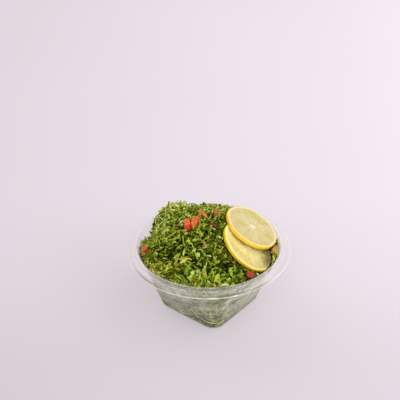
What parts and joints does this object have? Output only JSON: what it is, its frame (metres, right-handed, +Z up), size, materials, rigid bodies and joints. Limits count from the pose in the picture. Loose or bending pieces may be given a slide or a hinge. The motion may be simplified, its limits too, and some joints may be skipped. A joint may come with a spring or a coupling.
{
  "type": "tabbouleh salad in a clear bowl",
  "caption": "Shredded parsley salad heaped in a clear plastic bowl with a round flanged rim and a square base, topped with lemon slices and diced tomato and onion.",
  "frame": {"origin": "centre of the square base on the surface that the bowl stands on, which is also below the centre of the round rim", "axes": "+Z up out of the bowl, -Y to the front of the serving as it is shown, +X to its right, where the lemon slices lie"},
  "size_m": [0.16, 0.16, 0.0981],
  "materials": {
    "clear_plastic": "clear, glossy",
    "greens": "moist leaf",
    "lemon": "moist flesh, waxy rind",
    "tomato": "wet",
    "onion": "wet"
  },
  "bodies": {
    "root": {"bowl": "clear_plastic", "salad": "greens", "lemon_slice_upper": "lemon", "lemon_slice_lower": "lemon", "tomato_crown_left": "tomato", "tomato_crown_right": "tomato", "tomato_strip": "tomato", "tomato_left_rim": "tomato", "tomato_front_rim": "tomato", "tomato_back": "tomato", "onion_crown": "onion", "onion_right_rim": "onion"}
  },
  "joints": []
}
